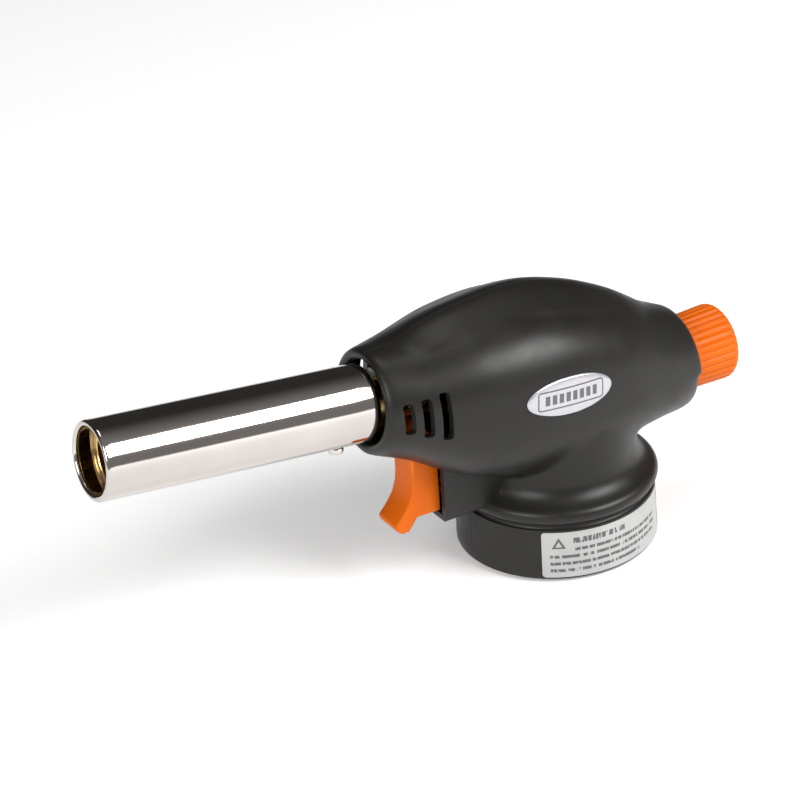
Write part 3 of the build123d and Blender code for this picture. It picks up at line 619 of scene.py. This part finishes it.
def halfFoot():
    # skirt, groove, collar bulge and neck
    profile = [(22.9, 0.8), (24.7, 0.8), (25.05, 0.95), (25.19, 1.3)]
    profile += [(footRadius(z), z) for z in (4.0, 8.0, 12.0, 14.0)]
    profile += arcThrough(*foot["groove"])
    profile += arcThrough(*foot["collar"], 10)[1:]
    profile += arcThrough(*foot["fillet"], 10)[1:]
    neckRadius, neckFoot = foot["fillet"][-1]
    rows = range(1, foot["neckSteps"] + 1)
    profile += [(neckRadius, neckFoot + foot["neckRise"] * k) for k in rows]
    profile += foot["inside"]
    rings = []
    for step in range(foot["around"] + 1):
        turn = -math.pi * step / foot["around"]
        c, s = math.cos(turn), math.sin(turn)
        rings.append([Vector((r * c, min(r * s, -housing["seam"]), z)) * mm for r, z in profile])
    bm = bmesh.new()
    joinRings(bm, rings, backToStart=False)
    closeFlatEnds(bm)
    return loose(bm, "footHalf")


def blockHalf():
    # the block under the body that holds the trigger
    front, rear, half, seam = block["front"], block["rear"], -block["half"], -housing["seam"]
    bm = prism(
        [(front, half), (rear, half), (rear, seam), (front, seam)],
        block["bottom"], block["top"], "Z",
    )

    def lies(edge, axis, value):
        return all(abs(v.co[axis] - value * mm) < 1e-6 for v in edge.verts)

    edges = [e for e in bm.edges if lies(e, 1, half) or lies(e, 2, block["bottom"])]
    for axis, value in ((1, seam), (2, block["top"]), (0, front)):
        edges = [e for e in edges if not lies(e, axis, value)]
    bmesh.ops.bevel(
        bm, geom=edges, offset=block["edge"] * mm, segments=4, affect="EDGES",
        profile=0.5, material=-1,
    )
    return loose(bm, "blockHalf")


def softenNeck(obj):
    # relaxes the mesh where the neck runs into the body
    bm = bmesh.new()
    bm.from_mesh(obj.data)
    bmesh.ops.remove_doubles(bm, verts=bm.verts, dist=2e-5)
    folds = []
    for edge in bm.edges:
        spot = (edge.verts[0].co + edge.verts[1].co) / 2 / mm
        outside = math.hypot(spot.x, spot.y) > 20.0
        if outside and blend["bottom"] < spot.z < blend["foldTop"] and len(edge.link_faces) == 2:
            if edge.calc_face_angle(0.0) > blend["foldAngle"]:
                folds.append(spot)
    near = []
    for vert in bm.verts:
        spot = vert.co / mm
        outside = spot.y < -1.5 and math.hypot(spot.x, spot.y) > 19.6
        if outside and blend["bottom"] < spot.z < blend["top"]:
            if any((spot - fold).length < blend["reach"] for fold in folds):
                near.append(vert)
    for _ in range(blend["rounds"]):
        bmesh.ops.smooth_vert(
            bm, verts=near, factor=0.5, use_axis_x=True, use_axis_y=True, use_axis_z=True
        )
    bm.to_mesh(obj.data)
    bm.free()


def roundedSlot(centre, bottom, top, width, r, count=5):
    # outline of an upright slot with rounded corners
    middle, tall = (bottom + top) / 2, (top - bottom) / 2 - r
    points = []
    for corner, (a, b) in enumerate(((1, 1), (-1, 1), (-1, -1), (1, -1))):
        for k in range(count + 1):
            turn = math.pi / 2 * (corner + k / count)
            x = centre + a * (width / 2 - r) + r * math.cos(turn)
            points.append((x, middle + b * tall + r * math.sin(turn)))
    return points


half = halfHousing()
cutWith(half, halfFoot(), "UNION")
softenNeck(half)
cutWith(half, blockHalf(), "UNION")
cutWith(half, boxOf(*block["igniterRoom"]))
cutWith(half, boxOf(*block["triggerRoom"]))
for x, bottom, top in housing["vents"]:
    slot = roundedSlot(x, bottom, top, housing["ventWidth"], housing["ventCorner"])
    cutWith(half, loose(prism(slot, -26.0, -6.0), "ventCut"))
# the right half is the left one mirrored, with the screw holes
bm = bmesh.new()
bm.from_mesh(half.data)
bmesh.ops.scale(bm, vec=(1, -1, 1), verts=bm.verts)
bmesh.ops.reverse_faces(bm, faces=bm.faces)
rightHalf = loose(bm, "rightHalf")
for x, z in housing["screws"]:
    cutWith(rightHalf, rodAlongY(x, z, housing["screwHole"], 8.0, 30.0))
finishPiece(reopened(half), "shellLeft", ["left_shell"], "shell_plastic", sharp=40.0)
finishPiece(reopened(rightHalf), "shellRight", ["right_shell"], "shell_plastic", sharp=40.0)
print("housing made")


tube = {
    "rear": 52.6,
    "muzzle": 124.0,
    "outer": 9.5,
    "inner": 9.0,
    "shoulder": 2.0,
    "rearHole": 6.6,
    "bead": 0.75,
    "beadTurn": math.pi * 1.39,
}
rear, outer, inner = tube["rear"], tube["outer"], tube["inner"]
shoulder, wall, bead = tube["shoulder"], tube["outer"] - tube["inner"], tube["bead"]
profile = []
for k in range(9):
    turn = math.pi / 2 * k / 8
    away = rear + shoulder - shoulder * math.cos(turn)
    profile.append((away, outer - shoulder + shoulder * math.sin(turn)))
profile += [(60.0, outer), (90.0, outer), (tube["muzzle"] - 2.0, outer)]
for k in range(17):
    turn = math.pi / 2 - tube["beadTurn"] * k / 16
    away = tube["muzzle"] - bead + bead * math.cos(turn)
    profile.append((away, outer - bead + bead * math.sin(turn)))
profile += [(tube["muzzle"] - 1.5, inner), (90.0, inner), (rear + shoulder, inner)]
profile += [(rear + 0.9, inner - 0.45), (rear + wall, outer - shoulder)]
profile += [(rear + wall, tube["rearHole"]), (rear, tube["rearHole"])]
finishPiece(turnedOnBurner(profile, 160), "flameTube", ["flame_tube"], "bright_chrome")

# brass sleeve inside the muzzle, with a lip turned inwards
sleeve = {"rear": 66.4, "front": 118.6, "outer": 8.95, "inner": 8.45, "lip": 7.25}
front, outer, inner, lip = sleeve["front"], sleeve["outer"], sleeve["inner"], sleeve["lip"]
profile = [(sleeve["rear"], outer), (front - 0.4, outer), (front, outer - 0.35)]
profile += [(front, lip + 0.15), (front - 0.2, lip), (front - 0.5, lip + 0.15)]
profile += [(front - 0.6, inner - 0.25), (front - 1.0, inner), (sleeve["rear"], inner)]
finishPiece(turnedOnBurner(profile, 128), "brassSleeve", ["inner_sleeve"], "brass")
print("burner made")


knob = {
    "front": 34.3,
    "rear": 50.7,
    "flutes": 30,
    "fluteDepth": 0.42,
    "gripStart": 4.6,
    "gripLength": 10.0,
    "gripRadius": 9.45,
    "gripSwell": 0.33,
    "rearRound": 1.8,
    # distance from the front face, radius
    "frontRim": [(10.4, 7.6), (0.4, 7.6), (0.0, 7.9), (0.0, 9.1), (0.15, 9.32), (0.5, 9.4)],
    # distance from the front face, radius, share of the flutes' depth
    "fluteStart": [(3.7, 9.42, 0.0), (4.1, 9.43, 0.5), (4.6, 9.45, 1.0)],
    # distance from the rear face, radius: the screw's recess and hole
    "rearFace": [(0.0, 6.5), (0.0, 3.3), (0.2, 3.05), (2.0, 3.0), (2.0, 1.05), (3.95, 1.05)],
    "spindleHole": 2.03,
    "spindleEnd": 3.95,
    "bossFace": 1.9,
    "bossRadius": 4.2,
    "bossEnd": 10.4,
}


def knobRing(x, radius, depth=0.0):
    ring = []
    for step in range(knob["flutes"] * 10):
        turn = math.tau * step / (knob["flutes"] * 10)
        groove = max(0.0, math.cos(math.tau * (step % 10) / 10)) ** 1.5
        r = radius - depth * groove
        ring.append(Vector((x, r * math.sin(turn), valveHeight + r * math.cos(turn))) * mm)
    return ring


front, rear, depth = knob["front"], knob["rear"], knob["fluteDepth"]
rings = [knobRing(front + x, r) for x, r in knob["frontRim"]]
rings += [knobRing(front + x, r, share * depth) for x, r, share in knob["fluteStart"]]
for k in range(1, 7):
    x = front + knob["gripStart"] + knob["gripLength"] * k / 6
    rings.append(knobRing(x, knob["gripRadius"] + knob["gripSwell"] * k / 6, depth))
for k in range(1, 7):
    turn = math.pi / 2 * k / 6
    x = rear - knob["rearRound"] + knob["rearRound"] * math.sin(turn)
    r = knob["gripRadius"] + knob["gripSwell"] - knob["rearRound"] * (1 - math.cos(turn))
    rings.append(knobRing(x, r, depth * (1 - k / 7)))
rings += [knobRing(rear - x, r) for x, r in knob["rearFace"]]
hole = (rear - knob["spindleEnd"], front + knob["bossFace"])
rings += [knobRing(x, knob["spindleHole"]) for x in hole]
rings += [knobRing(front + knob[key], knob["bossRadius"]) for key in ("bossFace", "bossEnd")]
bm = bmesh.new()
joinRings(bm, rings)
finishPiece(bm, "flameKnob", ["control_knob"], "orange_plastic", "knob_set", sharp=45.0)
print("knob made")


trigger = {
    # x and height, down the finger curve
    "finger": [
        (-42.9, 43.6), (-42.9, 36.0), (-42.9, 33.0), (-42.95, 30.5), (-43.3, 27.8),
        (-44.2, 25.2), (-45.6, 23.0), (-47.0, 21.4), (-48.4, 20.0),
    ],
    # round the toe, under the heel and up the stem
    "back": [
        (-48.1, 18.6), (-46.7, 17.4), (-44.6, 17.4), (-42.2, 20.6), (-35.6, 20.4),
        (-35.6, 33.0), (-38.4, 34.5), (-38.4, 43.6),
    ],
    "half": 4.3,
    "edge": 0.55,
    "flange": [(-42.9, -6.0), (-38.4, -6.0), (-38.4, 6.0), (-42.9, 6.0)],
    "flangeBottom": 42.1,
    "flangeTop": 43.6,
}
bm = prism(trigger["finger"] + trigger["back"], -trigger["half"], trigger["half"])
corners = [edge for edge in bm.edges if edge.calc_face_angle(0.0) > math.radians(20)]
bmesh.ops.bevel(
    bm, geom=corners, offset=trigger["edge"] * mm, segments=3, affect="EDGES",
    profile=0.5, material=-1, clamp_overlap=True,
)
stem = loose(bm, "triggerBody")
flange = prism(trigger["flange"], trigger["flangeBottom"], trigger["flangeTop"], "Z")
cutWith(stem, loose(flange, "triggerFlange"), "UNION")
finishPiece(reopened(stem), "pushTrigger", ["trigger"], "orange_plastic", "trigger_set", sharp=40.0)
print("trigger made")


label = {
    "bottom": 1.5,
    "height": 12.4,
    "start": math.radians(-131.5),
    "sweep": math.radians(89.5),
    "radius": 25.1,
    "corner": 0.9,
    "gap": 0.03,
    "thick": 0.12,
    "columns": 86,
    "rows": 14,
}
labelLength = label["sweep"] * label["radius"]


def labelPoint(u, v, lift):
    turn = label["start"] + u / label["radius"]
    z = label["bottom"] + v
    r = footRadius(z) + label["gap"] + lift
    return Vector((r * math.cos(turn), r * math.sin(turn), z)) * mm


def labelSpan(u):
    # lower and upper end of the column at u, where the corners are round
    corner, edge = label["corner"], min(u, labelLength - u)
    cut = 0.0
    if edge < corner:
        cut = corner - math.sqrt(max(corner**2 - (corner - edge) ** 2, 0.0))
    return cut * 0.97, label["height"] - cut * 0.97


bm = bmesh.new()
flat = bm.loops.layers.uv.new("flat")
corner, columns, rows = label["corner"], label["columns"], label["rows"]
ends = [0.0, 0.05, 0.2, 0.45, corner]
us = ends + [corner + (labelLength - 2 * corner) * k / columns for k in range(1, columns)]
us += [labelLength - end for end in reversed(ends)]
grid = {}
for i, u in enumerate(us):
    start, end = labelSpan(u)
    for j in range(rows + 1):
        v = start + (end - start) * j / rows
        for side, lift in ((0, 0.0), (1, label["thick"])):
            grid[i, j, side] = (bm.verts.new(labelPoint(u, v, lift)), (u, v))


def mappedFace(corners):
    # each corner is a vertex and its place on the flat map
    face = bm.faces.new([vert for vert, place in corners])
    for loop, (vert, place) in zip(face.loops, corners):
        loop[flat].uv = place


def labelFace(*keys):
    mappedFace([grid[key] for key in keys])


last = len(us) - 1
for i in range(last):
    for j in range(rows):
        labelFace((i, j, 1), (i + 1, j, 1), (i + 1, j + 1, 1), (i, j + 1, 1))
        labelFace((i, j, 0), (i, j + 1, 0), (i + 1, j + 1, 0), (i + 1, j, 0))
    labelFace((i, 0, 0), (i + 1, 0, 0), (i + 1, 0, 1), (i, 0, 1))
    labelFace((i, rows, 1), (i + 1, rows, 1), (i + 1, rows, 0), (i, rows, 0))
for j in range(rows):
    labelFace((0, j, 0), (0, j, 1), (0, j + 1, 1), (0, j + 1, 0))
    labelFace((last, j, 1), (last, j, 0), (last, j + 1, 0), (last, j + 1, 1))
finishPiece(bm, "printedLabel", ["label"], "silver_label")


badge = {
    "x": -8.4,
    "z": 50.6,
    "halfLong": 12.1,
    "halfHigh": 4.7,
    "tilt": math.radians(-5.0),
    "crown": 0.42,
    "underside": 0.04,
    # share of the oval, height above the housing
    "ovals": [
        (0.25, 0.44), (0.5, 0.45), (0.75, 0.45), (0.93, 0.43),
        (0.975, 0.36), (1.0, 0.2), (1.0, 0.04),
    ],
    "around": 96,
}


def onHousing(x, z):
    # the y of the housing's -Y side at x and z
    ring = housingRing(x)
    found = None
    for a, b in zip(ring, ring[1:]):
        if (a.z - z * mm) * (b.z - z * mm) <= 0 and a.z != b.z and a.y < -5 * mm:
            t = (z * mm - a.z) / (b.z - a.z)
            found = a.y + (b.y - a.y) * t
    return found / mm


def badgeCorner(share, turn, lift):
    # a new vertex and its place on the flat map
    u = badge["halfLong"] * share * math.cos(turn)
    v = badge["halfHigh"] * share * math.sin(turn)
    x = badge["x"] + u * math.cos(badge["tilt"]) - v * math.sin(badge["tilt"])
    z = badge["z"] + u * math.sin(badge["tilt"]) + v * math.cos(badge["tilt"])
    return bm.verts.new(Vector((x, onHousing(x, z) - lift, z)) * mm), (u, v)


bm = bmesh.new()
flat = bm.loops.layers.uv.new("flat")
around = badge["around"]
rings = []
for share, lift in badge["ovals"]:
    rings.append([badgeCorner(share, math.tau * k / around, lift) for k in range(around)])
middle = badgeCorner(0.0, 0.0, badge["crown"])
under = badgeCorner(0.0, 0.0, badge["underside"])
for k in range(around):
    n = (k + 1) % around
    mappedFace((middle, rings[0][k], rings[0][n]))
    for smaller, larger in zip(rings, rings[1:]):
        mappedFace((smaller[k], larger[k], larger[n], smaller[n]))
    mappedFace((rings[-1][k], under, rings[-1][n]))
finishPiece(bm, "ovalBadge", ["badge"], "silver_badge")
print("label and badge made")


tubeScrew = {
    "along": 61.3,
    "turn": math.radians(14.0),
    "face": 9.53,
    "radius": 1.9,
    "height": 1.5,
    "shank": 3.3,
    "shankRadius": 1.25,
}
housingScrew = {"face": 6.05, "radius": 2.35, "height": 1.5, "shank": 14.0, "shankRadius": 1.25}


def crossHead(name, nodes, look, screw, places):
    # pan heads with a cross recess; each place is a face centre and the way it faces
    radius, height = screw["radius"], screw["height"]
    shank, core = screw["shank"], screw["shankRadius"]
    whole = bmesh.new()
    for centre, out in places:
        profile = [(-shank, 0.001), (-shank, core * 0.5), (-shank + 0.8, core)]
        profile += [(0.0, core), (0.0, radius), (height * 0.35, radius)]
        for k in range(1, 7):
            turn = math.pi / 2 * k / 6
            away = height * 0.35 + height * 0.65 * math.sin(turn)
            profile.append((away, radius * (0.45 + 0.55 * math.cos(turn))))
        profile.append((height, 0.001))
        side = Vector((0, 0, 1)) if abs(out.z) < 0.8 else Vector((1, 0, 0))
        side = (side - out * side.dot(out)).normalized()
        bm = bmesh.new()
        verts = [bm.verts.new((centre + out * d + side * r) * mm) for d, r in profile]
        edges = [bm.edges.new((a, b)) for a, b in zip(verts, verts[1:])]
        bmesh.ops.spin(
            bm, geom=verts + edges, cent=centre * mm, axis=out, angle=math.tau,
            steps=48, use_merge=True,
        )
        bmesh.ops.holes_fill(bm, edges=bm.edges, sides=64)
        head = loose(bm, "head")
        across = out.cross(side)
        for a, b in ((side, across), (across, side)):
            slot = bmesh.new()
            bmesh.ops.create_cube(slot, size=1.0)
            turn = Matrix((a, b, out)).transposed().to_4x4()
            size = Vector((radius * 1.15, radius * 0.22, 1.4))
            bmesh.ops.scale(slot, vec=size * mm, verts=slot.verts)
            bmesh.ops.translate(slot, vec=(0, 0, (height - 0.2) * mm), verts=slot.verts)
            bmesh.ops.transform(
                slot, matrix=Matrix.Translation(centre * mm) @ turn, verts=slot.verts
            )
            cutWith(head, loose(slot, "slotCut"))
        whole.from_mesh(head.data)
        bpy.data.objects.remove(head)
    finishPiece(whole, name, nodes, look)


down = Vector((0, -math.sin(tubeScrew["turn"]), -math.cos(tubeScrew["turn"])))
down.rotate(Matrix.Rotation(burner["pitch"], 3, "Y"))
onAxis = burnerOrigin / mm + burnerAlong * tubeScrew["along"]
places = [(onAxis + down * tubeScrew["face"], down)]
crossHead("tubeScrew", ["tube_screw"], "bright_chrome", tubeScrew, places)
places = [(Vector((x, housingScrew["face"], z)), Vector((0, 1, 0))) for x, z in housing["screws"]]
crossHead("housingScrews", ["shell_screws"], "zinc_steel", housingScrew, places)
print("screws made")


bm = bmesh.new()
bmesh.ops.create_grid(bm, x_segments=1, y_segments=1, size=6.0)
floor = objectOf(bm, "floor")
paper = Finish("floorPaper", (0.92, 0.92, 0.92), 0.8)
paper.put("Emission Color", (1.0, 1.0, 1.0, 1.0))
paper.put("Emission Strength", 0.2)
floor.data.materials.append(paper.material)

# place, size, power in watts
softboxes = {
    "key": ((0.54, -0.80, 0.84), (0.75, 0.60), 19.0),
    "fill": ((-1.0, -0.45, 0.6), (0.5, 0.5), 8.0),
    "top": ((0.1, 0.25, 1.4), (0.5, 0.5), 2.5),
}
for name, (place, size, power) in softboxes.items():
    lamp = bpy.data.lights.new(name, "AREA")
    lamp.shape = "RECTANGLE"
    lamp.size, lamp.size_y = size
    lamp.energy = power
    box = bpy.data.objects.new(name, lamp)
    box.location = place
    toObject = Vector((0, 0, 0.03)) - Vector(place)
    box.rotation_euler = toObject.to_track_quat("-Z", "Y").to_euler()
    bpy.context.collection.objects.link(box)

# pale room, darker behind the object
world = bpy.data.worlds.new("room")
bpy.context.scene.world = world
world.use_nodes = True
room = Wiring(world.node_tree)
sky = room.tree.nodes["Background"]
toward = room.node("ShaderNodeTexCoord", {}, "Generated")
behind = room.node("ShaderNodeSeparateXYZ", {0: toward}, 1)
plug(room.ramp(behind, -0.4, 0.5, 0.26, 0.04), sky.inputs["Strength"])
plug((1.0, 0.985, 0.97, 1.0), sky.inputs["Color"])
bpy.context.scene.view_settings.view_transform = "Standard"

lens = bpy.data.cameras.new("camera")
lens.lens = 135.0
lens.sensor_width = 36.0
camera = bpy.data.objects.new("camera", lens)
bpy.context.collection.objects.link(camera)
right = Vector((0.85353, -0.51740, -0.06138))
up = Vector((0.29294, 0.37913, 0.87775))
back = Vector((-0.43088, -0.76718, 0.47517))
turn = Matrix((right, up, back)).transposed().to_4x4()
camera.matrix_world = Matrix.Translation((-0.3489, -0.5456, 0.3891)) @ turn
bpy.context.scene.camera = camera
print("light and camera set")
